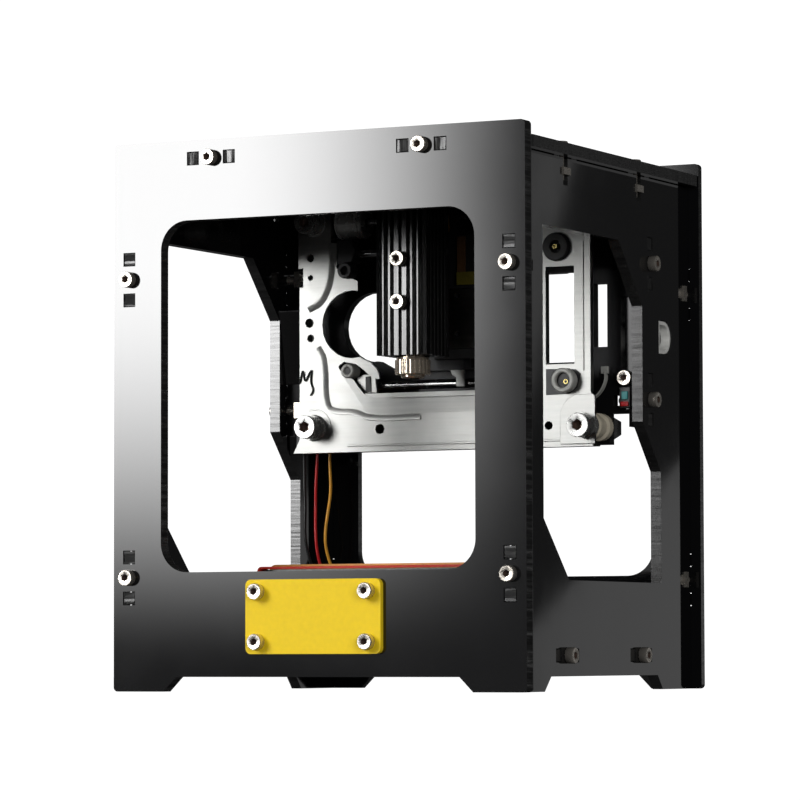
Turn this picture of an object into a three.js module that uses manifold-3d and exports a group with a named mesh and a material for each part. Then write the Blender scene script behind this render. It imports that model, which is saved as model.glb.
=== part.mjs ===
// Desktop laser cutter: an open box of glossy acrylic panels held by cap screws and square nuts,
// with two small linear stages inside. The upper stage carries the laser along X, the lower one
// carries the work platform along Y.
// Millimetres, +Z up, X to the right, Y to the back. The origin is on the floor, under the middle.
import * as THREE from 'three';
import { mergeVertices } from 'three/addons/utils/BufferGeometryUtils.js';
import Module from 'manifold-3d';

const wasm = await Module();
wasm.setup();

// ------------------------------------------------------------------ driving dimensions
const WIDTH = 156; // front and back panels, over all
const DEPTH = 150; // outside of the front panel to outside of the back panel
const HEIGHT = 188;
const FRONT_T = 5;
const BACK_T = 3;
const PANEL_T = 4; // side, top, base and middle panels
const SIDE_INSET = 4; // front and back panels stand this far past the side panels
const GAP = 0.3; // clearance between fitted pieces
const SEAT = 0.05; // clearance under a screw head or a plate that is bolted flat
const THROUGH = 2; // how far a cutting tool runs past the piece it cuts

const FOOT_H = 5; // the panels stand on feet this high
const CORNER_R = 1.5;
const WINDOW = { halfWidth: 59.5, low: 40.5, high: 160.5, radius: 10 }; // front and back windows
const TAB = 4.1; // width of a panel's tab
const TAB_SLOT = 4.7; // square hole that takes a tab
const TAB_OFFSET = 7; // tabs stand this far each side of a screw

const M3 = { shank: 1.5, head: 2.75, headHeight: 3, socket: 1.45, lowHead: 1.5, hole: 1.95 };
const NUT = { width: 5.5, thickness: 2.4, from: 3.2 }; // square nut, measured from the panel's edge
const T_SLOT = { width: 3.7, depth: 9.2, recess: 6.1, recessFrom: 2.9, recessTo: 5.9 };
const LONG_SCREW = 14; // through the front panel
const SHORT_SCREW = 12; // through a side, top or back panel
const PLATE_SCREW = 10; // through the name plate and the front panel

const SCREW_ROWS = { sideLow: 38.8, sideHigh: 141 }; // heights of the front and back panels' screws
const TOP_SCREW_X = 40; // front and back panels' screws into the top panel
const CROSS_Y = [-34.2, 27.5]; // side panel screws into the base plate, and top panel screws
const MIDDLE_Y = 37.2; // middle plane of the plate that carries the upper stage
const MIDDLE_ROWS = [101.4, 149.3]; // its screws' heights
const BASE_Z = 10; // underside of the base plate
const TOP_Z = 179.6; // underside of the top panel

const NAME_PLATE = { width: 51, height: 25, thickness: 2, middle: 25.2, screwX: 20.8, screwZ: 8.45 };

const SHEET_T = 1.2; // pressed steel of both stages
const SHEET_Y = 22; // front face of the upper stage's chassis
const HEAD_X = -1.3; // the laser stands this far to the left of the middle
const X_ROD = { y: 28, heights: [108.8, 156.8], radius: 1.5, from: -48, to: 56 };
const X_SCREW = { y: 29, z: 168.2, radius: 1.4, from: -38, to: 50.4 };
const X_MOTOR = { radius: 5.8, from: -44.5, to: -33.5 };
const BOLT = { shank: 2.5, hole: 3.05, head: 4.25, headHeight: 5, collar: 4.8, collarHeight: 3, nut: 4.6 };
const BOLT_PLACES = [[-51.5, 94], [56, 92], [-51.5, 168], [56, 168]];

const SINK = { half: 9.8, middle: -0.4, front: -8, back: 10, low: 117, high: 172, screws: [135.5, 150.7] };
const LASER = { y: 1, body: 5.8, nose: 4.2, tip: 109.3, shoulder: 118, top: 152 };
const RING = { inner: 4.5, outer: 6.3, low: 110.4, high: 116.5 };

const BED_Z = 24; // underside of the lower stage's chassis
const Y_ROD = { x: 24, z: 29.5, radius: 1.5, from: -50, to: 54 };
const Y_SCREW = { x: -36, z: 31.2, radius: 1.4, from: -43.4, to: 48.2 };
const Y_MOTOR = { radius: 5.6, from: 44, to: 55 };
const PLATFORM = { width: 84, length: 70, thickness: 3, low: 38.8, middleY: -3, radius: 6 };

const FRONT_OUT = -DEPTH / 2;
const FRONT_IN = FRONT_OUT + FRONT_T;
const BACK_OUT = DEPTH / 2;
const BACK_IN = BACK_OUT - BACK_T;
const SIDE_OUT = WIDTH / 2 - SIDE_INSET;
const SIDE_IN = SIDE_OUT - PANEL_T;
const SIDE_MIDDLE = SIDE_OUT - PANEL_T / 2;
const SIDE_TOP = TOP_Z - GAP;
const TOP_MIDDLE = TOP_Z + PANEL_T / 2;
const BASE_MIDDLE = BASE_Z + PANEL_T / 2;
const BOTH = [-1, 1];

// ------------------------------------------------------------------ materials
function finish(color, roughness, metalness) {
  return new THREE.MeshStandardMaterial({ color, roughness, metalness });
}

const acrylic = finish('#0b0b0c', 0.08, 0);
const yellowPlate = finish('#f2cf1e', 0.45, 0);
const nickel = finish('#cfc9bd', 0.25, 1);
const galvanised = finish('#c9cac8', 0.35, 1);
const steel = finish('#b9babb', 0.2, 1);
const blackAluminium = finish('#141416', 0.4, 0.8);
const champagne = finish('#cdb694', 0.3, 1);
const grayPlastic = finish('#3a3b3d', 0.5, 0);
const circuitGreen = finish('#123a22', 0.4, 0);
const redRubber = finish('#a81f14', 0.6, 0);
const tanRubber = finish('#c98a4a', 0.6, 0);
const redWire = finish('#a3161b', 0.4, 0);
const orangeWire = finish('#c8862a', 0.4, 0);
const blackWire = finish('#111111', 0.4, 0);

// ------------------------------------------------------------------ solids
// A closed three.js geometry as a solid that can be cut and joined.
function solid(geometry) {
  const bare = geometry.clone();
  bare.deleteAttribute('normal');
  bare.deleteAttribute('uv');
  const welded = mergeVertices(bare);
  const corners = welded.getIndex().array;
  const triangles = [];
  for (let i = 0; i < corners.length; i += 3) {
    const triangle = Array.from(corners.slice(i, i + 3));
    if (new Set(triangle).size === 3) {
      triangles.push(...triangle);
    }
  }
  const vertProperties = new Float32Array(welded.getAttribute('position').array);
  const triVerts = new Uint32Array(triangles);
  return new wasm.Manifold(new wasm.Mesh({ numProp: 3, vertProperties, triVerts }));
}

function join(first, ...others) {
  return others.reduce((whole, other) => whole.add(other), first);
}

function cut(body, ...tools) {
  return tools.reduce((whole, tool) => whole.subtract(tool), body);
}

function geometryOf(body) {
  const { vertProperties, triVerts } = body.getMesh();
  const geometry = new THREE.BufferGeometry();
  geometry.setAttribute('position', new THREE.BufferAttribute(vertProperties, 3));
  geometry.setIndex(new THREE.BufferAttribute(triVerts, 1));
  return geometry;
}

function piece(name, body, material) {
  const geometry = body.isBufferGeometry ? body : geometryOf(body);
  const mesh = new THREE.Mesh(geometry, material);
  mesh.name = name;
  return mesh;
}

function block([x0, x1], [y0, y1], [z0, z1]) {
  const geometry = new THREE.BoxGeometry(x1 - x0, y1 - y0, z1 - z0);
  return solid(geometry.translate((x0 + x1) / 2, (y0 + y1) / 2, (z0 + z1) / 2));
}

// A round bar along one axis; the centre gives the other two coordinates, in X, Y, Z order.
function bar(axis, [u, v], from, to, radius, sides = 16) {
  const geometry = new THREE.CylinderGeometry(radius, radius, to - from, sides);
  const middle = (from + to) / 2;
  if (axis === 'x') {
    return solid(geometry.rotateZ(Math.PI / 2).translate(middle, u, v));
  }
  if (axis === 'y') {
    return solid(geometry.translate(u, middle, v));
  }
  return solid(geometry.rotateX(Math.PI / 2).translate(u, v, middle));
}

// An outline pushed along the axis that it faces. Outlines are (y, z) for x, (x, z) for y
// and (x, y) for z.
function prism(outline, facing, from, to, curveSegments = 6) {
  const depth = to - from;
  const geometry = new THREE.ExtrudeGeometry(outline, { depth, bevelEnabled: false, curveSegments });
  const place = new THREE.Matrix4();
  if (facing === 'x') {
    place.set(0, 0, 1, from, 1, 0, 0, 0, 0, 1, 0, 0, 0, 0, 0, 1);
  } else if (facing === 'y') {
    place.set(1, 0, 0, 0, 0, 0, -1, to, 0, 1, 0, 0, 0, 0, 0, 1);
  } else {
    place.makeTranslation(0, 0, from);
  }
  return solid(geometry.applyMatrix4(place));
}

// A polygon whose corners are [x, y] or, with a fillet, [x, y, radius].
function outlineOf(corners) {
  const shape = new THREE.Shape();
  corners.forEach(([x, y, radius = 0], i) => {
    const here = new THREE.Vector2(x, y);
    const back = new THREE.Vector2(...corners.at(i - 1).slice(0, 2)).sub(here).normalize();
    const on = new THREE.Vector2(...corners[(i + 1) % corners.length].slice(0, 2)).sub(here).normalize();
    const halfAngle = Math.acos(THREE.MathUtils.clamp(back.dot(on), -1, 1)) / 2;
    const reach = radius / Math.tan(halfAngle);
    const start = here.clone().addScaledVector(back, reach);
    const end = here.clone().addScaledVector(on, reach);
    if (i === 0) {
      shape.moveTo(start.x, start.y);
    } else {
      shape.lineTo(start.x, start.y);
    }
    if (radius > 0) {
      const inward = back.clone().add(on).normalize();
      const centre = here.clone().addScaledVector(inward, radius / Math.sin(halfAngle));
      const from = start.clone().sub(centre).angle();
      const to = end.clone().sub(centre).angle();
      shape.absarc(centre.x, centre.y, radius, from, to, back.cross(on) > 0);
    }
  });
  return shape;
}

function rectangle([u, v], width, height, radius = 0) {
  const [a, b] = [width / 2, height / 2];
  return outlineOf([[u - a, v - b, radius], [u + a, v - b, radius], [u + a, v + b, radius],
    [u - a, v + b, radius]]);
}

function circle([u, v], radius) {
  return new THREE.Shape().absarc(u, v, radius, 0, 2 * Math.PI, false);
}

// A profile of [radius, height] points, from the bottom up, turned about the Z axis.
function turned(profile, sides = 16) {
  const points = profile.map(([radius, height]) => new THREE.Vector2(radius, height));
  return solid(new THREE.LatheGeometry(points, sides).rotateX(Math.PI / 2));
}

// ------------------------------------------------------------------ joints between panels
// A T-slot runs inward from a panel's edge and traps a square nut.
function tSlot([u, v], [du, dv]) {
  const half = T_SLOT.width / 2;
  const wide = T_SLOT.recess / 2;
  const side = [[-THROUGH, half], [T_SLOT.recessFrom, half], [T_SLOT.recessFrom, wide],
    [T_SLOT.recessTo, wide], [T_SLOT.recessTo, half], [T_SLOT.depth, half]];
  const across = side.map(([depth, offset]) => [depth, -offset]).reverse();
  return outlineOf([...side, ...across].map(([depth, offset]) => (
    [u + du * depth - dv * offset, v + dv * depth + du * offset])));
}

// The two tabs beside a screw reach out of a panel's edge, nearly through its neighbour.
function tabsAt([u, v], [du, dv], reach) {
  const middle = (reach - 1) / 2;
  const length = reach + 1;
  return BOTH.map((side) => {
    const along = side * TAB_OFFSET;
    const centre = [u - du * middle - dv * along, v - dv * middle + du * along];
    return rectangle(centre, du === 0 ? TAB : length, du === 0 ? length : TAB);
  });
}

// The holes that the neighbour has for one screw and its two tabs, along direction (du, dv).
function seatAt([u, v], [du, dv]) {
  const slots = BOTH.map((side) => (
    rectangle([u + du * side * TAB_OFFSET, v + dv * side * TAB_OFFSET], TAB_SLOT, TAB_SLOT)));
  return [circle([u, v], M3.hole), ...slots];
}

// A flat acrylic panel: an outline, plus tabs, less holes and slots.
function panel(facing, from, to, { outline, tabs = [], openings = [], corner = 4 }) {
  const sheet = prism(outline, facing, from, to, corner);
  const withTabs = join(sheet, ...tabs.map((tab) => prism(tab, facing, from, to)));
  const tools = openings.map((opening) => prism(opening, facing, from - THROUGH, to + THROUGH, 4));
  return cut(withTabs, ...tools);
}

// ------------------------------------------------------------------ screws
// A cap screw whose head sits on the plane z = 0 and points along +Z. The nut, where it has one,
// starts that far below the plane.
function capScrew(length, nutFrom = 0, headHeight = M3.headHeight) {
  const head = bar('z', [0, 0], SEAT, headHeight, M3.head, 12);
  const shank = bar('z', [0, 0], -length, headHeight / 4, M3.shank, 8);
  const socket = bar('z', [0, 0], headHeight / 2, headHeight + THROUGH, M3.socket, 6);
  const screw = cut(join(head, shank), socket);
  if (nutFrom === 0) {
    return geometryOf(screw);
  }
  const half = NUT.width / 2;
  const nut = block([-half, half], [-half, half], [-nutFrom - NUT.thickness, -nutFrom]);
  return geometryOf(join(screw, nut));
}

const UP = new THREE.Vector3(0, 0, 1);

// A screw whose head faces the given direction.
function placed(name, geometry, position, direction, material) {
  const mesh = piece(name, geometry, material);
  mesh.position.set(...position);
  mesh.quaternion.setFromUnitVectors(UP, new THREE.Vector3(...direction));
  return mesh;
}

// ------------------------------------------------------------------ the acrylic frame
// Front and back panels share one outline: a rounded rectangle on two feet, with a big window.
function endPanel(from, to, window, extraHoles) {
  const half = WIDTH / 2;
  const footInner = 58.5;
  const footSlope = footInner - FOOT_H;
  const outline = outlineOf([[-half, 0, CORNER_R], [-footInner, 0], [-footSlope, FOOT_H],
    [footSlope, FOOT_H], [footInner, 0], [half, 0, CORNER_R],
    [half, HEIGHT, CORNER_R], [-half, HEIGHT, CORNER_R]]);
  const seats = BOTH.flatMap((side) => [
    ...seatAt([side * TOP_SCREW_X, TOP_MIDDLE], [1, 0]),
    ...seatAt([side * SIDE_MIDDLE, SCREW_ROWS.sideLow], [0, 1]),
    ...seatAt([side * SIDE_MIDDLE, SCREW_ROWS.sideHigh], [0, 1]),
  ]);
  const sheet = panel('y', from, to, { outline, openings: [...seats, ...extraHoles] });
  return cut(sheet, prism(window, 'y', from - THROUGH, to + THROUGH, 6));
}

const { halfWidth, low: windowLow, high: windowHigh, radius: windowRadius } = WINDOW;
const frontWindow = rectangle([0, (windowLow + windowHigh) / 2], 2 * halfWidth,
  windowHigh - windowLow, windowRadius);
// The back window's upper part reaches further to the left and less far to the right.
const backWindow = outlineOf([[-halfWidth, windowLow, windowRadius], [halfWidth, windowLow, windowRadius],
  [halfWidth, 108, 2], [44, 108, 2], [44, windowHigh, 4], [-halfWidth, windowHigh, 4],
  [-halfWidth, 150, 2], [-67, 146, 2], [-67, 114, 2], [-halfWidth, 110, 2]]);

// Side panels have an eight-cornered window that follows the stages inside.
function sidePanel(from, to, extraOpenings) {
  const [front, back] = [FRONT_IN + GAP, BACK_IN - GAP];
  const outline = outlineOf([[front, 0], [-52.5, 0], [-47.3, FOOT_H], [42, FOOT_H], [46.5, 0],
    [back, 0], [back, SIDE_TOP], [front, SIDE_TOP]]);
  const window = outlineOf([[-52.8, 57.5], [-32.5, 37.2], [45.7, 37.2], [45.7, 76.5], [29.9, 93.5],
    [29.9, 134], [9.75, 155.4], [-52.8, 155.4]]);
  const rows = [SCREW_ROWS.sideLow, SCREW_ROWS.sideHigh];
  const tabs = [
    ...rows.flatMap((z) => tabsAt([front, z], [1, 0], FRONT_T)),
    ...rows.flatMap((z) => tabsAt([back, z], [-1, 0], BACK_T)),
    ...CROSS_Y.flatMap((y) => tabsAt([y, SIDE_TOP], [0, -1], PANEL_T)),
  ];
  const openings = [
    window,
    ...rows.flatMap((z) => [tSlot([front, z], [1, 0]), tSlot([back, z], [-1, 0])]),
    ...CROSS_Y.map((y) => tSlot([y, SIDE_TOP], [0, -1])),
    ...CROSS_Y.flatMap((y) => seatAt([y, BASE_MIDDLE], [1, 0])),
    ...MIDDLE_ROWS.flatMap((z) => seatAt([MIDDLE_Y, z], [0, 1])),
    ...extraOpenings,
  ];
  return panel('x', from, to, { outline, tabs, openings });
}

function topPanel() {
  const [front, back] = [FRONT_IN + GAP, BACK_IN - GAP];
  const outline = rectangle([0, (front + back) / 2], WIDTH, back - front, CORNER_R);
  const tabs = BOTH.flatMap((side) => [
    ...tabsAt([side * TOP_SCREW_X, front], [0, 1], FRONT_T),
    ...tabsAt([side * TOP_SCREW_X, back], [0, -1], BACK_T),
  ]);
  const openings = BOTH.flatMap((side) => [
    tSlot([side * TOP_SCREW_X, front], [0, 1]),
    tSlot([side * TOP_SCREW_X, back], [0, -1]),
    ...CROSS_Y.flatMap((y) => seatAt([side * SIDE_MIDDLE, y], [0, 1])),
  ]);
  return panel('z', TOP_Z, TOP_Z + PANEL_T, { outline, tabs, openings });
}

function basePlate() {
  const half = SIDE_IN - GAP;
  const length = 124;
  const outline = rectangle([0, 0], 2 * half, length, CORNER_R);
  const cross = BOTH.flatMap((side) => CROSS_Y.map((y) => [[side * half, y], [-side, 0]]));
  const tabs = cross.flatMap(([edge, inward]) => tabsAt(edge, inward, PANEL_T));
  const openings = cross.map(([edge, inward]) => tSlot(edge, inward));
  return panel('z', BASE_Z, BASE_Z + PANEL_T, { outline, tabs, openings });
}

// The upright plate that the upper stage is bolted to; its openings match the chassis.
function middlePlate() {
  const half = SIDE_IN - GAP;
  const waist = 63.5;
  const rightSide = [[59, 86], [59, 96.8], [66.5, 96.8], [66.5, 92], [half, 92], [half, 111],
    [waist, 111], [waist, 138], [half, 138], [half, 176]];
  const leftSide = rightSide.map(([x, z]) => [-x, z]).reverse();
  const outline = outlineOf([...rightSide, ...leftSide]);
  const [front, back] = [MIDDLE_Y - PANEL_T / 2, MIDDLE_Y + PANEL_T / 2];
  const edges = BOTH.flatMap((side) => MIDDLE_ROWS.map((z) => [[side * half, z], [-side, 0]]));
  const tabs = edges.flatMap(([edge, inward]) => tabsAt(edge, inward, PANEL_T));
  const openings = [
    ...edges.map(([edge, inward]) => tSlot(edge, inward)),
    ...BOLT_PLACES.map((place) => circle(place, BOLT.hole)),
    outlineOf([[-33.8, 118.3], [-32.3, 118.3], [-25.8, 114.8], [-18, 114.8], [-18, 131], [-33.8, 131]]),
    rectangle([40, 131.5], 12, 32),
    rectangle([55.7, 131.7], 5.2, 22.4),
  ];
  const plate = panel('y', front, back, { outline, tabs, openings });
  return cut(plate, bar('y', [-33.8, 130.8], front - THROUGH, back + THROUGH, 12.6, 28));
}

const NAME_SCREWS = BOTH.flatMap((side) => BOTH.map((up) => (
  [side * NAME_PLATE.screwX, NAME_PLATE.middle + up * NAME_PLATE.screwZ])));

function namePlate() {
  const { width, height, thickness, middle } = NAME_PLATE;
  const back = FRONT_OUT - SEAT;
  const holes = NAME_SCREWS.map((place) => circle(place, M3.hole));
  const outline = rectangle([0, middle], width, height, 2);
  return panel('y', back - thickness, back, { outline, openings: holes });
}

const cableOpening = new THREE.Shape();
cableOpening.moveTo(44.5, 118);
cableOpening.lineTo(50, 118);
cableOpening.absarc(50, 124, 6, -Math.PI / 2, Math.PI / 2, false);
cableOpening.lineTo(44.5, 130);

const panels = new THREE.Group();
const nameHoles = NAME_SCREWS.map((place) => circle(place, M3.hole));
panels.add(
  piece('front_panel', endPanel(FRONT_OUT, FRONT_IN, frontWindow, nameHoles), acrylic),
  piece('back_panel', endPanel(BACK_IN, BACK_OUT, backWindow, []), acrylic),
  piece('left_side_panel', sidePanel(-SIDE_OUT, -SIDE_IN, []), acrylic),
  piece('right_side_panel', sidePanel(SIDE_IN, SIDE_OUT, [cableOpening]), acrylic),
  piece('top_panel', topPanel(), acrylic),
  piece('base_plate', basePlate(), acrylic),
  piece('middle_plate', middlePlate(), acrylic),
  piece('name_plate', namePlate(), yellowPlate),
);

// ------------------------------------------------------------------ the frame's screws
const screws = new THREE.Group();
const longScrew = capScrew(LONG_SCREW, FRONT_T + GAP + NUT.from);
const shortScrew = capScrew(SHORT_SCREW, PANEL_T + GAP + NUT.from);
const lowScrew = capScrew(SHORT_SCREW, PANEL_T + GAP + NUT.from, M3.lowHead);
const backScrew = capScrew(SHORT_SCREW, BACK_T + GAP + NUT.from);
const plateScrew = capScrew(PLATE_SCREW, NAME_PLATE.thickness + FRONT_T + 2 * SEAT + GAP);

BOTH.forEach((side) => {
  const hand = side < 0 ? 'left' : 'right';
  const [front, outside] = [[0, -1, 0], [side, 0, 0]];
  const frontPlaces = {
    top: [side * TOP_SCREW_X, TOP_MIDDLE],
    high: [side * SIDE_MIDDLE, SCREW_ROWS.sideHigh],
    low: [side * SIDE_MIDDLE, SCREW_ROWS.sideLow],
  };
  Object.entries(frontPlaces).forEach(([level, [x, z]]) => {
    const name = `front_screw_${level}_${hand}`;
    screws.add(placed(name, longScrew, [x, FRONT_OUT, z], front, nickel));
  });
  const behind = [side * TOP_SCREW_X, BACK_OUT, TOP_MIDDLE];
  screws.add(placed(`back_screw_top_${hand}`, backScrew, behind, [0, 1, 0], nickel));
  CROSS_Y.forEach((y, i) => {
    const end = i === 0 ? 'front' : 'back';
    const low = [side * SIDE_OUT, y, BASE_MIDDLE];
    const high = [side * SIDE_MIDDLE, y, TOP_Z + PANEL_T];
    screws.add(placed(`base_screw_${end}_${hand}`, shortScrew, low, outside, nickel));
    screws.add(placed(`top_screw_${end}_${hand}`, lowScrew, high, [0, 0, 1], nickel));
  });
  MIDDLE_ROWS.forEach((z, i) => {
    const name = `middle_screw_${i === 0 ? 'low' : 'high'}_${hand}`;
    screws.add(placed(name, shortScrew, [side * SIDE_OUT, MIDDLE_Y, z], outside, nickel));
  });
});
NAME_SCREWS.forEach(([x, z], i) => {
  const seat = [x, FRONT_OUT - SEAT - NAME_PLATE.thickness, z];
  screws.add(placed(`name_plate_screw_${i + 1}`, plateScrew, seat, [0, -1, 0], nickel));
});

// ------------------------------------------------------------------ the upper stage, along X
// A pressed sheet with a round opening at the left, a wide one for the carriage and a tall
// window at the right. Its rim is folded back, and upright ears hold the rods and the motor.
function xChassis() {
  const back = SHEET_Y + SHEET_T;
  const outline = outlineOf([[-60, 85], [58.5, 85], [58.5, 102], [57.7, 104], [57.7, 158],
    [58.5, 160], [58.5, 177.5], [-58, 177.5], [-58, 152], [-56, 152], [-56, 145], [-57.5, 145],
    [-57.5, 90]]);
  const sheet = prism(outline, 'y', SHEET_Y, back);
  const rims = [
    block([-58, 58.5], [SHEET_Y, back + 6], [176.3, 177.5]),
    block([-57, 58.5], [SHEET_Y, back + 5], [85, 86.2]),
    block([56.5, 57.7], [SHEET_Y, back + 1.3], [104, 158]),
    block([-57.5, -56.3], [SHEET_Y, back + 6], [105, 142]),
    block([-20, 36], [SHEET_Y - 1.5, back], [104, 105.2]),
  ];
  const ears = X_ROD.heights.flatMap((z) => [
    block([-46.5, -45.3], [SHEET_Y, X_ROD.y + 4], [z - 4.5, z + 4.5]),
    block([53, 54.2], [SHEET_Y, X_ROD.y + 4], [z - 4.5, z + 4.5]),
  ]);
  const screwEars = [
    block([-46.5, -45.3], [SHEET_Y, X_SCREW.y + 4], [163, 176.5]),
    block([48, 49.2], [SHEET_Y, X_SCREW.y + 4], [163, 176.5]),
  ];
  const openings = [
    outlineOf([[-25.2, 105.8], [38, 105.8, 2], [38, 174.8, 2], [-44.8, 174.8], [-44.8, 161],
      [-43, 160.5], [-43, 152.5, 1.5], [-40.5, 148.8, 1], [-35.5, 147.2], [-33.8, 146.2],
      [-33.8, 143.2], [-34, 131], [-33, 118.9], [-29, 117.2], [-26.3, 114.7],
      [-25.3, 112.4]]), // the carriage's way
    outlineOf([[-24.5, 105.8], [-24.5, 110.8], [-28, 111.3], [-31.2, 114.2], [-34.5, 116.6],
      [-39.5, 117.6, 1], [-42.3, 115.8, 1], [-31.5, 105.8]]), // beside the lower rod
    rectangle([46, 131.2], 11, 34.5), // tall window
  ];
  const rounds = [[-36, 131, 12.3], [45, 155.3, 5.2], [48.4, 108.1, 4.4]].map(([x, z, radius]) => (
    bar('y', [x, z], SHEET_Y - 3, back + 3, radius, 24)));
  const smallHoles = [[-53, 155.5, 1.5], [-53, 148.4, 1.1], [-53.5, 132, 1.8], [-53, 126.5, 1.5],
    [-25, 93, 1.9], [41.5, 92.5, 1.6]].map(([x, z, radius]) => circle([x, z], radius));
  const boltHoles = BOLT_PLACES.map((place) => circle(place, BOLT.hole));
  const [low, high] = [SHEET_Y - 3, back + 0.05];
  const tools = [
    ...openings.map((hole) => prism(hole, 'y', low, high, 2)),
    ...[...smallHoles, ...boltHoles].map((hole) => prism(hole, 'y', low, high, 4)),
  ];
  const rodWays = X_ROD.heights.flatMap((z) => [
    bar('x', [X_ROD.y, z], -50, -42, X_ROD.radius + GAP, 12),
    bar('x', [X_ROD.y, z], 50, 58, X_ROD.radius + GAP, 12),
  ]);
  const screwWay = bar('x', [X_SCREW.y, X_SCREW.z], 45, 52, X_SCREW.radius + GAP, 12);
  const pressed = cut(sheet, ...tools, ...rounds);
  return cut(join(pressed, ...rims, ...ears, ...screwEars), ...rodWays, screwWay);
}

// A big cap screw with a collar under its head, a spacer between sheet and plate, and a nut.
function chassisBolt() {
  const { shank, head, headHeight, collar, collarHeight, nut } = BOLT;
  const spacerFrom = SHEET_T + SEAT;
  const spacerTo = MIDDLE_Y - PANEL_T / 2 - SHEET_Y - SEAT;
  const nutFrom = spacerTo + PANEL_T + 2 * SEAT;
  const nutTo = nutFrom + 4;
  const profile = [[0, -nutTo - 1.5], [shank, -nutTo - 1.5], [shank, -nutTo], [nut, -nutTo],
    [nut, -nutFrom], [shank, -nutFrom], [shank, -spacerTo], [4, -spacerTo], [4, -spacerFrom],
    [shank, -spacerFrom], [shank, SEAT], [collar, SEAT], [collar, collarHeight],
    [head, collarHeight], [head, collarHeight + headHeight], [0, collarHeight + headHeight]];
  const top = collarHeight + headHeight;
  const socket = bar('z', [0, 0], top - 2.6, top + THROUGH, 2.3, 6);
  return geometryOf(cut(turned(profile, 12), socket));
}

// The stepper motor's can, with a bore that the screw's end turns in.
function motorCan(axis, centre, { radius, from, to }, boreFrom, boreTo) {
  const can = bar(axis, centre, from, to, radius, 20);
  return cut(can, bar(axis, centre, boreFrom, boreTo, 1.8, 12));
}

function xCarriage() {
  const sled = block([-12, 12], [24.8, 31.2], [103.8, 161.5]);
  const bracket = block([-9, -4], [SINK.back + GAP, 25], [122, 156]);
  const arm = block([-4, 4], [25.8, 32.2], [160, 171.6]);
  const waist = [[-13, -7], [7, 13]].map((span) => block(span, [23, 33], [114, 119]));
  const openFront = block([-13, 13], [24, X_ROD.y - 0.4], [103, 113.4]); // the lower rod lies open
  const rodWays = X_ROD.heights.map((z) => bar('x', [X_ROD.y, z], -14, 14, X_ROD.radius + GAP, 12));
  const screwWay = bar('x', [X_SCREW.y, X_SCREW.z], -6, 6, X_SCREW.radius + GAP, 12);
  return cut(join(sled, bracket, arm), ...waist, openFront, ...rodWays, screwWay);
}

// Black finned block around the laser; upright fins on its front and both flanks.
function heatSink() {
  const { half, front, back, low, high } = SINK;
  const grooves = [];
  [-7.9, -5.6, -3.05, 0, 3.05, 5.6, 7.9].forEach((offset) => {
    const x = SINK.middle + offset;
    grooves.push(block([x - 0.6, x + 0.6], [front - THROUGH, front + 2.4], [low - 1, high + 1]));
  });
  [-4.8, -2, 0.8, 3.6, 6.4].forEach((y) => {
    BOTH.forEach((side) => {
      const [inner, outer] = [side * (half - 2.2), side * (half + THROUGH)];
      const span = [Math.min(inner, outer), Math.max(inner, outer)];
      grooves.push(block(span, [y - 0.6, y + 0.6], [low - 1, high + 1]));
    });
  });
  const bore = bar('z', [0, LASER.y], low - 1, LASER.top + 2, LASER.body + GAP, 20);
  const leadWay = bar('z', [0, LASER.y], LASER.top, high + 1, 2, 8);
  const screwWays = SINK.screws.map((z) => bar('y', [SINK.middle, z], front - 1, LASER.y, M3.hole, 12));
  const finned = block([-half, half], [front, back], [low, high]);
  return cut(finned, ...grooves, bore, leadWay, ...screwWays).translate([HEAD_X, 0, 0]);
}

function laserModule() {
  const { body, nose, tip, shoulder, top, y } = LASER;
  const profile = [[0, tip + 5], [2, tip + 5], [2.6, tip], [nose, tip], [nose, shoulder],
    [body, shoulder], [body, top], [0, top]];
  return turned(profile, 20).translate([HEAD_X, y, 0]);
}

// Focus ring: turned by hand on the laser's nose, knurled all round.
function focusRing() {
  const { inner, outer, low, high } = RING;
  const knurls = 24;
  const points = Array.from({ length: 2 * knurls }, (_, i) => {
    const angle = (i * Math.PI) / knurls;
    const radius = i % 2 === 0 ? outer : outer - 0.25;
    return new THREE.Vector2(radius * Math.cos(angle), radius * Math.sin(angle));
  });
  const ring = prism(new THREE.Shape(points), 'z', low, high);
  return cut(ring, bar('z', [0, 0], low - 1, high + 1, inner, 20)).translate([HEAD_X, LASER.y, 0]);
}

const upperStage = new THREE.Group();
upperStage.add(piece('x_chassis', xChassis(), galvanised));
const boltGeometry = chassisBolt();
const boltNames = ['low_left', 'low_right', 'high_left', 'high_right'];
BOLT_PLACES.forEach(([x, z], i) => {
  const name = `chassis_bolt_${boltNames[i]}`;
  upperStage.add(placed(name, boltGeometry, [x, SHEET_Y, z], [0, -1, 0], nickel));
});
X_ROD.heights.forEach((z, i) => {
  const rod = bar('x', [X_ROD.y, z], X_ROD.from, X_ROD.to, X_ROD.radius, 12);
  upperStage.add(piece(i === 0 ? 'x_rod_lower' : 'x_rod_upper', rod, steel));
});
const xAxis = [X_SCREW.y, X_SCREW.z];
upperStage.add(
  piece('x_motor', motorCan('x', xAxis, X_MOTOR, X_SCREW.from - 0.5, X_MOTOR.to + 1), steel),
  piece('x_lead_screw', bar('x', xAxis, X_SCREW.from, X_SCREW.to, X_SCREW.radius, 12), steel),
);

const laserHead = new THREE.Group();
laserHead.add(
  piece('x_carriage', xCarriage(), grayPlastic),
  piece('heat_sink', heatSink(), blackAluminium),
  piece('laser_module', laserModule(), champagne),
  piece('focus_ring', focusRing(), champagne),
);
SINK.screws.forEach((z, i) => {
  const name = `heat_sink_screw_${i === 0 ? 'low' : 'high'}`;
  laserHead.add(placed(name, capScrew(2.4), [HEAD_X + SINK.middle, SINK.front, z], [0, -1, 0], nickel));
});
upperStage.add(laserHead);

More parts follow.
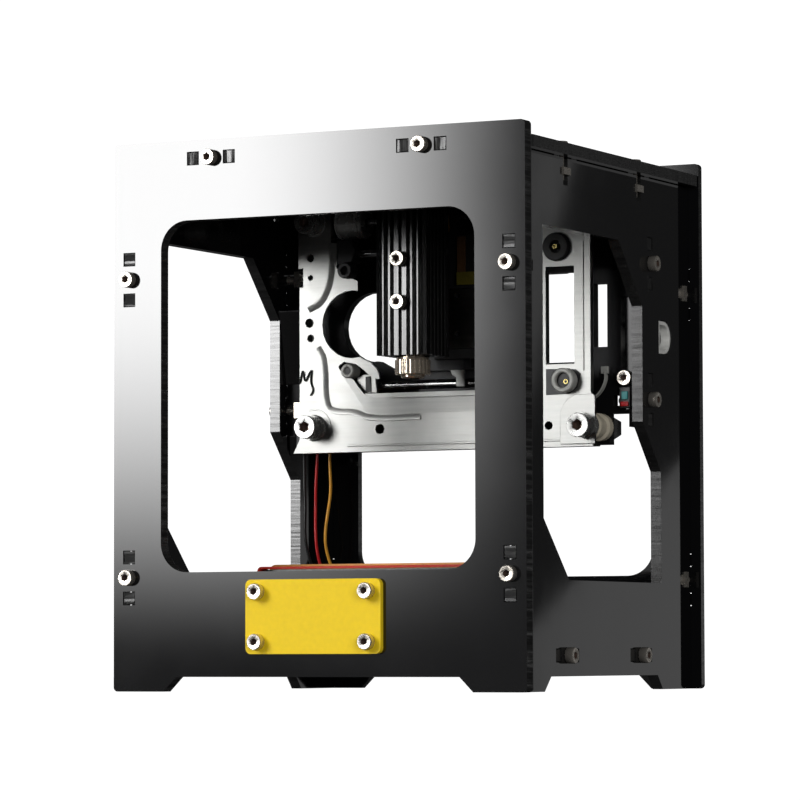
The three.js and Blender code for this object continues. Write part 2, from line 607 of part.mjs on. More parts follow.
// ------------------------------------------------------------------ the lower stage, along Y
// A flat pressed sheet on four bent legs, with ears for the rods and the screw.
function yChassis() {
  const [top, half] = [BED_Z + SHEET_T, 46];
  const foot = BASE_Z + PANEL_T + SEAT;
  const sheet = prism(rectangle([0, 3], 2 * half, 106, 3), 'z', BED_Z, top);
  const opening = prism(rectangle([0, 1], 56, 80, 4), 'z', BED_Z - 1, top + 1);
  const ears = BOTH.flatMap((side) => [-48, 50].map((y) => (
    block([side * Y_ROD.x - 3.5, side * Y_ROD.x + 3.5], [y, y + SHEET_T], [BED_Z, 33]))));
  const screwEar = block([Y_SCREW.x - 4, Y_SCREW.x + 4], [-42, -42 + SHEET_T], [BED_Z, 35]);
  const legs = BOTH.flatMap((side) => [[-46, -34], [40, 52]].flatMap((span) => {
    const outer = side * (half - 0.2);
    const inner = outer - side * SHEET_T;
    const toe = side * (half - 9);
    const wall = [Math.min(outer, inner), Math.max(outer, inner)];
    const sole = [Math.min(outer, toe), Math.max(outer, toe)];
    return [block(wall, span, [foot, top]), block(sole, span, [foot, foot + SHEET_T])];
  }));
  const rodWays = BOTH.map((side) => (
    bar('y', [side * Y_ROD.x, Y_ROD.z], -60, 60, Y_ROD.radius + GAP, 12)));
  const screwWay = bar('y', [Y_SCREW.x, Y_SCREW.z], -44, -38, Y_SCREW.radius + GAP, 12);
  return cut(join(cut(sheet, opening), ...ears, screwEar, ...legs), ...rodWays, screwWay);
}

function yCarriage() {
  const sled = block([-27.5, 27.5], [-11, 11], [26.2, 32.8]);
  const arm = block([-39.5, -27], [-4, 4], [27.6, 34.6]);
  const post = block([-10, 10], [-9, 9], [32, PLATFORM.low - GAP]);
  const rodWays = BOTH.map((side) => (
    bar('y', [side * Y_ROD.x, Y_ROD.z], -13, 13, Y_ROD.radius + GAP, 12)));
  const screwWay = bar('y', [Y_SCREW.x, Y_SCREW.z], -6, 6, Y_SCREW.radius + GAP, 12);
  return cut(join(sled, arm, post), ...rodWays, screwWay);
}

// An elastic band stretched round the platform from side to side.
function band([front, back], thickness) {
  const { width, low, thickness: plate } = PLATFORM;
  const middle = [0, low + plate / 2];
  const inside = rectangle(middle, width + 2 * GAP, plate + 2 * GAP, 0.8);
  const [wide, tall] = [width + 2 * GAP + 2 * thickness, plate + 2 * GAP + 2 * thickness];
  const outside = rectangle(middle, wide, tall, thickness + 0.8);
  return cut(prism(outside, 'y', front, back, 3), prism(inside, 'y', front - 1, back + 1, 2));
}

const lowerStage = new THREE.Group();
lowerStage.add(piece('y_chassis', yChassis(), galvanised));
BOTH.forEach((side) => {
  const rod = bar('y', [side * Y_ROD.x, Y_ROD.z], Y_ROD.from, Y_ROD.to, Y_ROD.radius, 12);
  lowerStage.add(piece(`y_rod_${side < 0 ? 'left' : 'right'}`, rod, steel));
});
const yAxis = [Y_SCREW.x, Y_SCREW.z];
const platformOutline = rectangle([0, PLATFORM.middleY], PLATFORM.width, PLATFORM.length,
  PLATFORM.radius);
const platformTop = PLATFORM.low + PLATFORM.thickness;
lowerStage.add(
  piece('y_motor', motorCan('y', yAxis, Y_MOTOR, Y_MOTOR.from - 1, Y_SCREW.to + 0.5), steel),
  piece('y_lead_screw', bar('y', yAxis, Y_SCREW.from, Y_SCREW.to, Y_SCREW.radius, 12), steel),
  piece('y_carriage', yCarriage(), grayPlastic),
  piece('work_platform', prism(platformOutline, 'z', PLATFORM.low, platformTop), acrylic),
  piece('hold_down_band_red', band([-36.5, -31], 0.8), redRubber),
  piece('hold_down_band_tan', band([-26, -20], 1.7), tanRubber),
);

// ------------------------------------------------------------------ electronics
// The control board stands on four posts behind the middle plate, its components to the back.
function controlBoard() {
  const front = MIDDLE_Y + PANEL_T / 2 + 6;
  const back = front + 1.6;
  const plate = prism(rectangle([0, 163], 78, 30, 1.5), 'y', front, back);
  const corners = BOTH.flatMap((side) => [151, 175].map((z) => [side * 36, z]));
  const posts = corners.map((place) => (
    bar('y', place, MIDDLE_Y + PANEL_T / 2 + SEAT, front + 0.5, 2.5, 8)));
  const chips = [[[-6, 6], 2, [158, 170]], [[-26, -18], 2, [160, 168]], [[16, 24], 2, [160, 168]],
    [[28, 33], 3, [157, 163]], [[-34, -29], 3, [157, 163]]];
  const parts = chips.map(([x, height, z]) => block(x, [back - 0.5, back + height], z));
  return join(plate, ...posts, ...parts);
}

// An insulated lead that runs from the board behind the middle plate down to the lower motor.
function lead(points) {
  const radius = 0.55;
  const sides = 6;
  const corners = Array.from({ length: sides }, (_, i) => {
    const angle = (2 * Math.PI * i) / sides;
    return new THREE.Vector2(radius * Math.cos(angle), radius * Math.sin(angle));
  });
  const extrudePath = new THREE.CatmullRomCurve3(points.map((point) => new THREE.Vector3(...point)));
  const options = { steps: 22, extrudePath, bevelEnabled: false };
  return solid(new THREE.ExtrudeGeometry(new THREE.Shape(corners), options));
}

const electronics = new THREE.Group();
electronics.add(
  piece('control_board', controlBoard(), circuitGreen),
  piece('motor_lead_red', lead([[-40.2, 46, 156], [-50, 44, 150], [-58, 43, 136], [-61, 44, 112],
    [-62.7, 45.5, 86], [-63.5, 45.5, 68], [-62.4, 45.5, 48], [-57, 50, 34], [-46, 56.5, 30.5],
    [-37, 56.2, 33]]), redWire),
  piece('motor_lead_orange', lead([[-40.2, 47, 152], [-48, 47, 146], [-54, 46.5, 132],
    [-56.5, 46, 110], [-57.6, 45.5, 86], [-57.3, 45.5, 72], [-59.3, 45.5, 52], [-54, 51, 36],
    [-44, 58.5, 33], [-35, 56.4, 31]]), orangeWire),
  piece('motor_lead_black', lead([[-40.2, 46.4, 161], [-53, 45, 158], [-62, 42, 140], [-65.5, 42, 112],
    [-66.8, 43, 86], [-66.5, 43, 68], [-66, 44, 50], [-60, 52, 28], [-46, 58.5, 26.5],
    [-37, 56.2, 28.5]]), blackWire),
);

const laserCutter = new THREE.Group();
laserCutter.add(panels, screws, upperStage, lowerStage, electronics);
export default laserCutter;
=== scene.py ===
"""Looks of the desktop laser cutter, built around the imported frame. Metres, +Z up."""
import math

import bmesh
import bpy
from mathutils import Matrix, Vector


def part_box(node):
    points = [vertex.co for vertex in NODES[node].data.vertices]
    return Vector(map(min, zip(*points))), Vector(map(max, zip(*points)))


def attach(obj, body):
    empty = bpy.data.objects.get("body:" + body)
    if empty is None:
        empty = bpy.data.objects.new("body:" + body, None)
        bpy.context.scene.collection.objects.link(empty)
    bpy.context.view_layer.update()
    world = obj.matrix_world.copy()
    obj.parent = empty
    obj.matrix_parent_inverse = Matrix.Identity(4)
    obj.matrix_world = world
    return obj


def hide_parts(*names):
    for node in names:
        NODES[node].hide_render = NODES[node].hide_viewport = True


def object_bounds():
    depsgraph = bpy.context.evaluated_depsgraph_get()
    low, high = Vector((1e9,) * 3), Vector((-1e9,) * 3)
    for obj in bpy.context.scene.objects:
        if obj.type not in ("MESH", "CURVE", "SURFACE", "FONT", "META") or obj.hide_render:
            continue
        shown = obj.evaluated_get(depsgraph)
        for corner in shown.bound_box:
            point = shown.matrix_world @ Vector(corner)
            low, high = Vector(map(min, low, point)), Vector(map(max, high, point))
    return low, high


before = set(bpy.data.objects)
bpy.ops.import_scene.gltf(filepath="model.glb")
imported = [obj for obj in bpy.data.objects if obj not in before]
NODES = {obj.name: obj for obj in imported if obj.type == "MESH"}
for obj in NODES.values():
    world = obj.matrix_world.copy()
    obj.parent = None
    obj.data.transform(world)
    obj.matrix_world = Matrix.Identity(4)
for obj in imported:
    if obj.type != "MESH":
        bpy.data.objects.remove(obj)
cad_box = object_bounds()

MM = 0.001
X, Y, Z = Vector((1, 0, 0)), Vector((0, 1, 0)), Vector((0, 0, 1))
FLOOR_Z = cad_box[0][2]


# ------------------------------------------------------------------ camera
def add_camera():
    """A long lens from the front right, held just above the desk and tilted up a little."""
    azimuth, elevation, roll = (math.radians(a) for a in (26.723, -3.369, 0.14))
    distance, target = 1.4939, Vector((-0.00196, -0.0077, 0.1012))
    back = Vector((math.sin(azimuth) * math.cos(elevation), -math.cos(azimuth) * math.cos(elevation),
                   math.sin(elevation)))
    right = Vector((math.cos(azimuth), math.sin(azimuth), 0))
    turn = Matrix((right, back.cross(right), back)).transposed() @ Matrix.Rotation(-roll, 3, "Z")
    data = bpy.data.cameras.new("camera")
    data.sensor_width = 36
    data.lens = 192.35
    camera = bpy.data.objects.new("camera", data)
    camera.matrix_world = Matrix.LocRotScale(target + back * distance, turn.to_quaternion(), None)
    bpy.context.collection.objects.link(camera)
    bpy.context.scene.camera = camera


add_camera()


# ------------------------------------------------------------------ material nodes
class Nodes:
    """A short way to write a material's node tree."""

    def __init__(self, name):
        self.material = bpy.data.materials.new(name)
        self.material.use_nodes = True
        self.tree = self.material.node_tree
        self.shader = self.tree.nodes["Principled BSDF"]

    def add(self, kind, settings=None, **inputs):
        node = self.tree.nodes.new("ShaderNode" + kind)
        for key, value in (settings or {}).items():
            setattr(node, key, value)
        for key, value in inputs.items():
            self.set(node, key.replace("_", " "), value)
        return node

    def set(self, node, key, value):
        socket = node.inputs[int(key[2:])] if key.startswith("in") and key[2:].isdigit() else node.inputs[key]
        if isinstance(value, bpy.types.NodeSocket):
            self.tree.links.new(value, socket)
        else:
            socket.default_value = value

    def surface(self, **inputs):
        for key, value in inputs.items():
            self.set(self.shader, key.replace("_", " "), value)

    def place(self, scale=(1, 1, 1)):
        """Object coordinates, stretched by scale."""
        where = self.add("TexCoord").outputs["Object"]
        return self.add("Mapping", Vector=where, Scale=scale).outputs["Vector"]

    def noise(self, scale, detail=4, stretch=(1, 1, 1), roughness=0.55):
        where = self.place(stretch)
        node = self.add("TexNoise", Vector=where, Scale=scale, Detail=detail, Roughness=roughness)
        return node.outputs["Fac"]

    def ramp(self, factor, *stops):
        node = self.add("ValToRGB", Fac=factor)
        elements = node.color_ramp.elements
        while len(elements) < len(stops):
            elements.new(0.5)
        for element, (position, color) in zip(elements, stops):
            element.position = position
            element.color = (*color, 1) if len(color) == 3 else color
        return node.outputs["Color"]

    def gray(self, factor, *stops):
        return self.ramp(factor, *((position, (value,) * 3) for position, value in stops))

    def mix(self, factor, a, b):
        node = self.add("Mix", {"data_type": "RGBA"})
        self.set(node, "Factor", factor)
        self.set(node, "in6", a)
        self.set(node, "in7", b)
        return node.outputs[2]

    def math(self, operation, a, b=0.0):
        node = self.add("Math", {"operation": operation})
        self.set(node, "in0", a)
        self.set(node, "in1", b)
        return node.outputs["Value"]

    def bump(self, height, strength, distance=0.0002):
        return self.add("Bump", Height=height, Strength=strength, Distance=distance).outputs["Normal"]


TAB_END_DEPTH = 0.0096  # the ends of the tabs in the front panel lie within this of its face


def acrylic(name, facing, dull=0.0):
    """Glossy black acrylic, or a duller one. Its cut edges are rippled across by the saw, and the
    ends of the tabs that show in the front panel are rough."""
    n = Nodes(name)
    axis = "XYZ".index(facing)
    normal = n.add("TexCoord").outputs["Normal"]
    parts = n.add("SeparateXYZ", Vector=normal).outputs
    face = n.math("GREATER_THAN", n.math("ABSOLUTE", parts[axis]), 0.5)
    stretch = [1.0] * 3
    stretch[axis] = 0.06
    streaks = n.noise(700, 4, stretch, 0.6)
    haze = n.noise(35, 3)
    color = n.mix(face, n.gray(streaks, (0.3, 0.006), (0.8, 0.03)), (0.0045, 0.0045, 0.005, 1))
    face_rough = n.gray(haze, (0.35, 0.04 + dull), (0.7, 0.07 + dull))
    edge_rough = n.gray(streaks, (0.3, 0.1), (0.7, 0.22))
    edge = n.math("SUBTRACT", 1.0, face)
    depth = n.add("SeparateXYZ", Vector=n.place()).outputs["Y"]
    at_front = n.math("LESS_THAN", depth, cad_box[0][1] + TAB_END_DEPTH)
    tab_rough = n.gray(streaks, (0.45, 0.95), (0.62, 0.25))
    edge_rough = n.mix(n.math("MULTIPLY", edge, at_front), edge_rough, tab_rough)
    n.surface(Base_Color=color, Roughness=n.mix(face, edge_rough, face_rough),
              Normal=n.bump(n.math("MULTIPLY", streaks, edge), 0.35, 0.00015),
              IOR=1.3 if dull else 1.7)
    return n.material


def metal(name, color, roughness, grain=0.25, scale=300, stretch=(1, 1, 1), metallic=1.0):
    n = Nodes(name)
    mottle = n.noise(scale, 6, stretch)
    low, high = [tuple(c * k for c in color) for k in (1 - grain, 1 + grain * 0.4)]
    n.surface(Base_Color=n.ramp(mottle, (0.3, low), (0.7, high)), Metallic=metallic,
              Roughness=n.gray(mottle, (0.3, roughness * 0.75), (0.7, roughness * 1.3)),
              Normal=n.bump(mottle, 0.05))
    return n.material


def plastic(name, color, roughness, scale=400, bump=0.08, vary=0.15, specular=0.5):
    n = Nodes(name)
    grain = n.noise(scale, 5)
    low, high = [tuple(c * k for c in color) for k in (1 - vary, 1 + vary)]
    n.surface(Base_Color=n.ramp(grain, (0.3, low), (0.7, high)),
              Roughness=n.gray(grain, (0.3, roughness * 0.85), (0.7, roughness * 1.15)),
              Normal=n.bump(grain, bump), Specular_IOR_Level=specular)
    return n.material


def anodised(name):
    """Black anodised aluminium: a dark, fairly glossy skin with faint drawing lines along Z."""
    n = Nodes(name)
    lines = n.noise(900, 4, (1, 1, 0.03))
    n.surface(Base_Color=n.gray(lines, (0.3, 0.006), (0.7, 0.012)), IOR=1.9,
              Roughness=n.gray(lines, (0.3, 0.2), (0.7, 0.3)), Normal=n.bump(lines, 0.05))
    return n.material


def galvanised(name):
    """Zinc-plated pressed sheet: faint large spangle, fine rolling lines and a soft sheen."""
    n = Nodes(name)
    spangle = n.add("TexVoronoi", {"feature": "F1"}, Vector=n.place(), Scale=140.0).outputs["Distance"]
    rolled = n.noise(260, 6, (0.15, 1, 2.5))
    both = n.math("ADD", n.math("MULTIPLY", spangle, 0.3), n.math("MULTIPLY", rolled, 0.7))
    n.surface(Base_Color=n.ramp(both, (0.2, (0.33, 0.335, 0.325)), (0.6, (0.45, 0.45, 0.435))),
              Metallic=1.0, Roughness=n.gray(both, (0.2, 0.38), (0.7, 0.5)),
              Normal=n.bump(both, 0.04))
    return n.material


MATERIALS = {
    "panel_x": acrylic("panel_x", "X"),
    "panel_y": acrylic("panel_y", "Y"),
    "panel_z": acrylic("panel_z", "Z"),
    "inner_panel": acrylic("inner_panel", "Y", 0.5),
    "yellow": plastic("yellow_plate", (0.9, 0.63, 0.02), 0.5, 600, 0.04, 0.03, 0.15),
    "nickel": metal("nickel", (0.72, 0.67, 0.6), 0.24, 0.1, 500, metallic=0.85),
    "zinc": galvanised("zinc_sheet"),
    "bolt": metal("bolt", (0.42, 0.42, 0.41), 0.27, 0.15, 500, metallic=0.85),
    # The inside of a screw's socket: a dark brownish metal, painted shade and painted reflection in the
    # recess.
    "socket": metal("socket", (0.22, 0.15, 0.12), 0.4, metallic=0.7),
    "steel": metal("ground_steel", (0.5, 0.5, 0.5), 0.22, 0.15, 400, (0.1, 1, 1)),
    "can": metal("motor_can", (0.6, 0.6, 0.58), 0.25, 0.15, 400, (0.1, 1, 1), 0.5),
    "anodised": anodised("black_anodised"),
    "champagne": metal("champagne", (0.82, 0.7, 0.56), 0.2, 0.1, 400, metallic=0.75),
    "brass": metal("yellow_zinc", (0.6, 0.5, 0.2), 0.25, 0.2, 400),
    "dark_plastic": plastic("dark_plastic", (0.014, 0.014, 0.015), 0.45),
    "grey_plastic": plastic("grey_plastic", (0.3, 0.3, 0.28), 0.4),
    "white_plastic": plastic("white_plastic", (0.7, 0.7, 0.67), 0.35),
    "beige_rubber": plastic("beige_rubber", (0.42, 0.38, 0.3), 0.6, 300, 0.1),
    "red_band": plastic("red_band", (0.42, 0.02, 0.01), 0.55, 900, 0.2),
    "tan_band": plastic("tan_band", (0.6, 0.27, 0.07), 0.55, 900, 0.2),
    "board": plastic("solder_mask", (0.008, 0.045, 0.018), 0.3),
    "chip": plastic("chip", (0.02, 0.02, 0.02), 0.4),
    "red_wire": plastic("red_wire", (0.36, 0.01, 0.012), 0.35),
    "orange_wire": plastic("orange_wire", (0.55, 0.26, 0.03), 0.35),
    "black_wire": plastic("black_wire", (0.01, 0.01, 0.01), 0.35),
    # The two ribbon leads: their own brown and olive, darkened with painted shade.
    "shaded_brown_ribbon": plastic("shaded_brown_ribbon", (0.09, 0.045, 0.02), 0.45),
    "shaded_olive_ribbon": plastic("shaded_olive_ribbon", (0.12, 0.1, 0.015), 0.45),
    "teal": plastic("teal_plug", (0.03, 0.2, 0.2), 0.4),
    "rubber": plastic("rubber", (0.012, 0.012, 0.012), 0.5, 300, 0.15),
}


# ------------------------------------------------------------------ CAD nodes that are kept
def round_edges(obj, width):
    modifier = obj.modifiers.new("edges", "BEVEL")
    modifier.width = width * MM
    modifier.segments = 2
    modifier.limit_method = "ANGLE"
    modifier.angle_limit = math.radians(40)
    modifier.harden_normals = False


def finish_node(name, material, bevel=0.0):
    """A carried-over CAD node's material, and a small round on its edges."""
    node = NODES[name]
    node.data.materials.clear()
    node.data.materials.append(MATERIALS[material])
    if bevel:
        round_edges(node, bevel)


for names, material, bevel in (
    (("front_panel", "back_panel"), "panel_y", 0.12),
    (("middle_plate",), "inner_panel", 0.12),
    (("left_side_panel", "right_side_panel"), "panel_x", 0.12),
    (("top_panel", "base_plate"), "panel_z", 0.12),
    (("work_platform",), "panel_z", 0.3),
    (("name_plate",), "yellow", 0.4),
    (("x_chassis", "y_chassis"), "zinc", 0.12),
    (("x_carriage", "y_carriage"), "dark_plastic", 0.2),
    (("hold_down_band_red",), "red_band", 0.15),
    (("hold_down_band_tan",), "tan_band", 0.3),
    (("control_board",), "board", 0.1),
):
    for name in names:
        finish_node(name, material, bevel)


# ------------------------------------------------------------------ shapes, in millimetres
def lathe(rings, sides=32, hollow=False):
    """A closed solid of rings about +Z. A ring is (radius, height); the radius may be a function
    of the angle. A hollow one joins its last ring to its first, instead of two flat ends."""
    bm = bmesh.new()
    loops = []
    for radius, height in rings:
        loop = []
        for i in range(sides):
            angle = math.tau * i / sides
            r = radius(angle) if callable(radius) else radius
            loop.append(bm.verts.new((r * math.cos(angle), r * math.sin(angle), height)))
        loops.append(loop)
    for low, high in zip(loops, loops[1:]):
        for i in range(sides):
            bm.faces.new((low[i - 1], low[i], high[i], high[i - 1]))
    if hollow:
        first, last = loops[0], loops[-1]
        for i in range(sides):
            bm.faces.new((first[i - 1], first[i], last[i], last[i - 1]))
    else:
        bm.faces.new(loops[0][::-1])
        bm.faces.new(loops[-1])
    return bm


FACING = {
    "x": Matrix(((0, 0, 1, 0), (1, 0, 0, 0), (0, 1, 0, 0), (0, 0, 0, 1))),
    "y": Matrix(((1, 0, 0, 0), (0, 0, 1, 0), (0, 1, 0, 0), (0, 0, 0, 1))),
    "z": Matrix.Identity(4),
}


def extruded(outline, facing, start, end, holes=()):
    """An outline pushed along an axis: outlines are (y, z) for x, (x, z) for y and (x, y) for z."""
    bm = bmesh.new()
    for loop in (outline, *holes):
        verts = [bm.verts.new((u, v, start)) for u, v in loop]
        for i, vert in enumerate(verts):
            bm.edges.new((verts[i - 1], vert))
    bmesh.ops.triangle_fill(bm, edges=bm.edges[:], use_beauty=True)
    pushed = bmesh.ops.extrude_face_region(bm, geom=bm.faces[:])
    moved = [v for v in pushed["geom"] if isinstance(v, bmesh.types.BMVert)]
    bmesh.ops.translate(bm, verts=moved, vec=(0, 0, end - start))
    bm.transform(FACING[facing])
    return bm


def box(x, y, z):
    return extruded([(x[0], y[0]), (x[1], y[0]), (x[1], y[1]), (x[0], y[1])], "z", *z)


def ring_of(centre, radius, count=24, start=0.0, end=math.tau):
    steps = count if end - start >= math.tau - 1e-6 else count - 1
    return [(centre[0] + radius * math.cos(start + (end - start) * i / steps),
             centre[1] + radius * math.sin(start + (end - start) * i / steps)) for i in range(count)]


def rounded(points, rounds=3):
    """The same path with its corners cut, again and again."""
    path = [Vector(p) for p in points]
    for _ in range(rounds):
        cut = [path[0]]
        for a, b in zip(path, path[1:]):
            cut += [a.lerp(b, 0.25), a.lerp(b, 0.75)]
        path = cut + [path[-1]]
    return path


def swept(path, section, up):
    """A section of (across, along up) points pulled along a path."""
    up = Vector(up)
    bm = bmesh.new()
    loops = []
    for i, point in enumerate(path):
        ahead = path[min(i + 1, len(path) - 1)] - path[max(i - 1, 0)]
        across = ahead.cross(up).normalized()
        high = across.cross(ahead).normalized()
        loops.append([bm.verts.new(point + across * u + high * v) for u, v in section])
    count = len(section)
    for a, b in zip(loops, loops[1:]):
        for i in range(count):
            bm.faces.new((a[i - 1], a[i], b[i], b[i - 1]))
    bm.faces.new(loops[0][::-1])
    bm.faces.new(loops[-1])
    return bm


def joined(*parts):
    """Several closed solids as one mesh."""
    whole = parts[0]
    for part in parts[1:]:
        spare = bpy.data.meshes.new("spare")
        part.to_mesh(spare)
        part.free()
        whole.from_mesh(spare)
        bpy.data.meshes.remove(spare)
    return whole


# The inside of a screw's socket is darkened with painted shade and a painted brownish reflection.
SOCKET_SHADE_SLOT = 1  # the material slot of the inside of a screw's socket


def mesh_of(name, bm, material, sharp=35):
    bmesh.ops.recalc_face_normals(bm, faces=bm.faces[:])
    bm.transform(Matrix.Scale(MM, 4))
    mesh = bpy.data.meshes.new(name)
    bm.to_mesh(mesh)
    bm.free()
    mesh.materials.append(MATERIALS[material])
    # Screws get a second material, the painted shade inside their sockets.
    if any(face.material_index == SOCKET_SHADE_SLOT for face in mesh.polygons):
        mesh.materials.append(MATERIALS["socket"])
    mesh.shade_smooth()
    mesh.set_sharp_from_angle(angle=math.radians(sharp))
    return mesh


def put(name, mesh, body, replaces=(), place=None, bevel=0.0):
    """A piece on a body. Its place is a matrix in millimetres."""
    obj = bpy.data.objects.new(name, mesh)
    bpy.context.collection.objects.link(obj)
    if place:
        spot, turn, _ = place.decompose()
        obj.matrix_world = Matrix.LocRotScale(spot * MM, turn, None)
    if bevel:
        round_edges(obj, bevel)
    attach(obj, body)
    if replaces:
        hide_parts(*replaces)
    return obj


def add(name, bm, material, body="frame", replaces=(), place=None, bevel=0.0, sharp=35):
    return put(name, mesh_of(name, bm, material, sharp), body, replaces, place, bevel)


def aim(place, direction):
    """Turns +Z to a direction and moves to a place."""
    turn = Vector(direction).to_track_quat("Z", "Y").to_matrix().to_4x4()
    return Matrix.Translation(Vector(place)) @ turn


def node_box(name):
    low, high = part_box(name)
    return Vector(low) / MM, Vector(high) / MM


# ------------------------------------------------------------------ screws
def hexagon(across_flats):
    return lambda a: across_flats / 2 / math.cos((a + math.pi / 6) % (math.pi / 3) - math.pi / 6)


def thread(radius, pitch, low, high, depth):
    """Rings of a screw thread between two heights."""
    def ring(height):
        def at(angle):
            turn = (height / pitch + angle / math.tau) % 1
            return radius - depth * abs(2 * turn - 1)
        return at, height
    count = int((high - low) / pitch * 4)
    return [ring(low + (high - low) * i / count) for i in range(count + 1)]


def cap_screw(head, height, shank, pitch, length, key, sides=36, from_height=0.05):
    """A cap screw whose head sits on z = 0, finely knurled round its side, with a hex socket as
    wide as its key. The inside of the socket has a darker material: painted shade and a painted brownish
    reflection in the recess."""
    def knurled(angle):
        return head - 0.02 * (1 + math.cos(sides / 2 * angle))

    top = from_height + height
    deep = top - height * 0.55
    mouth = key * 0.6
    screw = lathe([
        (shank * 0.6, -length), *thread(shank, pitch, 0.4 - length, -0.4, pitch * 0.45), (shank, -0.1),
        (shank, from_height), (head - 0.15, from_height), (knurled, from_height + 0.2),
        (knurled, top - 0.4), (head - 0.08, top - 0.15), (head - 0.25, top), (mouth, top),
        (hexagon(key), top - 0.04), (hexagon(key), deep), (key * 0.2, deep - key * 0.15),
    ], sides)
    # Faces inside the socket take the painted shade material.
    for face in screw.faces:
        spot = face.calc_center_median()
        if from_height < spot.z < top - 0.1 and spot.xy.length < mouth:
            face.material_index = SOCKET_SHADE_SLOT
    return screw


def square_nut(start, width=5.5, thickness=2.4):
    half = width / 2
    hole = ring_of((0, 0), 1.3, 16)
    outline = [(-half, -half), (half, -half), (half, half), (-half, half)]
    return extruded(outline, "z", -start - thickness, -start, [hole])


def m3_screw(length, height=2.95):
    return cap_screw(2.75, height, 1.5, 0.5, length, 2.2)


FRONT_T, PANEL_T, BACK_T = 5, 4, 3  # thickness of the panels
NUT_DEEP = 3.5  # from a panel's edge to its nuts
NAME_NUT = 7.4  # from the name plate's face to the nuts behind the front panel
SCREW_KINDS = {
    "front": joined(m3_screw(14), square_nut(FRONT_T + NUT_DEEP)),
    "side": joined(m3_screw(12), square_nut(PANEL_T + NUT_DEEP)),
    "back": joined(m3_screw(12), square_nut(BACK_T + NUT_DEEP)),
    "low": joined(m3_screw(12, 1.45), square_nut(PANEL_T + NUT_DEEP)),
    "plate": joined(m3_screw(10), square_nut(NAME_NUT)),
    "short": m3_screw(2.4),
}
SCREWS = {kind: mesh_of(f"{kind}_screw", bm, "nickel") for kind, bm in SCREW_KINDS.items()}
HEAD_HEIGHT = {"low": 1.5}  # the others stand 3 mm high


def screw_for(node, kind, direction, body="frame"):
    """The finished screw that stands for a CAD screw, with its head at the same place."""
    direction = Vector(direction)
    low, high = node_box(node)
    middle = (low + high) / 2
    reach = abs((high - low).dot(direction)) / 2
    seat = middle + direction * (reach - HEAD_HEIGHT.get(kind, 3.0))
    put(f"{node}_fine", SCREWS[kind], body, (node,), aim(seat, direction))


for hand, side in (("left", -X), ("right", X)):
    for level in ("top", "high", "low"):
        screw_for(f"front_screw_{level}_{hand}", "front", -Y)
    for end in ("front", "back"):
        screw_for(f"base_screw_{end}_{hand}", "side", side)
        screw_for(f"top_screw_{end}_{hand}", "low", Z)
    for level in ("low", "high"):
        screw_for(f"middle_screw_{level}_{hand}", "side", side)
        front_low, front_high = node_box(f"front_screw_{level}_{hand}")
        seat = (front_low + front_high) / 2
        seat.y = node_box("back_panel")[1].y
        put(f"back_screw_{level}_{hand}", SCREWS["back"], "frame", (), aim(seat, Y))
    screw_for(f"back_screw_top_{hand}", "back", Y)
for number in (1, 2, 3, 4):
    screw_for(f"name_plate_screw_{number}", "plate", -Y)
for level in ("low", "high"):
    screw_for(f"heat_sink_screw_{level}", "short", -Y, "laser_head")
PLATE_FRONT = node_box("middle_plate")[0].y
put("middle_plate_screw", SCREWS["side"], "frame", (), aim((65.8, PLATE_FRONT, 109.2), -Y))

SHEET_Y = 22.0  # front face of the upper stage's chassis


def chassis_bolts():
    """Four big cap screws with a collar under the head, a rubber spacer and a hex nut behind."""
    for name in ("low_left", "high_left", "low_right", "high_right"):
        node = f"chassis_bolt_{name}"
        low, high = node_box(node)
        place = aim(((low.x + high.x) / 2, SHEET_Y, (low.z + high.z) / 2), -Y)
        screw = cap_screw(4.25, 4.9, 2.4, 0.8, 18.8, 3.6, 48, 3.05)
        if name == "low_right":
            collar = lathe([(4.9, 0.05), (4.9, 0.5), (hexagon(8), 0.55), (hexagon(8), 3.0)], 48)
        else:
            collar = lathe([(4.8, 0.05), (4.8, 0.4), (4.5, 0.6), (4.4, 3.0)], 48)
        nut = lathe([(hexagon(8), -21.2), (hexagon(8), -17.4)], 48)
        add(f"{node}_fine", joined(screw, collar, nut), "bolt", "frame", (node,), place)
        spacer = lathe([(4.3, -13.0), (4.9, -12.4), (4.9, -9.6), (3.9, -9.0), (3.9, -5.2), (4.9, -4.6),
                        (4.9, -2.0), (4.3, -1.3)], 40)
        add(f"bolt_spacer_{name}", spacer, "beige_rubber", "frame", (), place)


chassis_bolts()


# ------------------------------------------------------------------ details of the upper stage
def on_sheet(points, y=SHEET_Y):
    return [Vector((x, y, z)) for x, z in points]


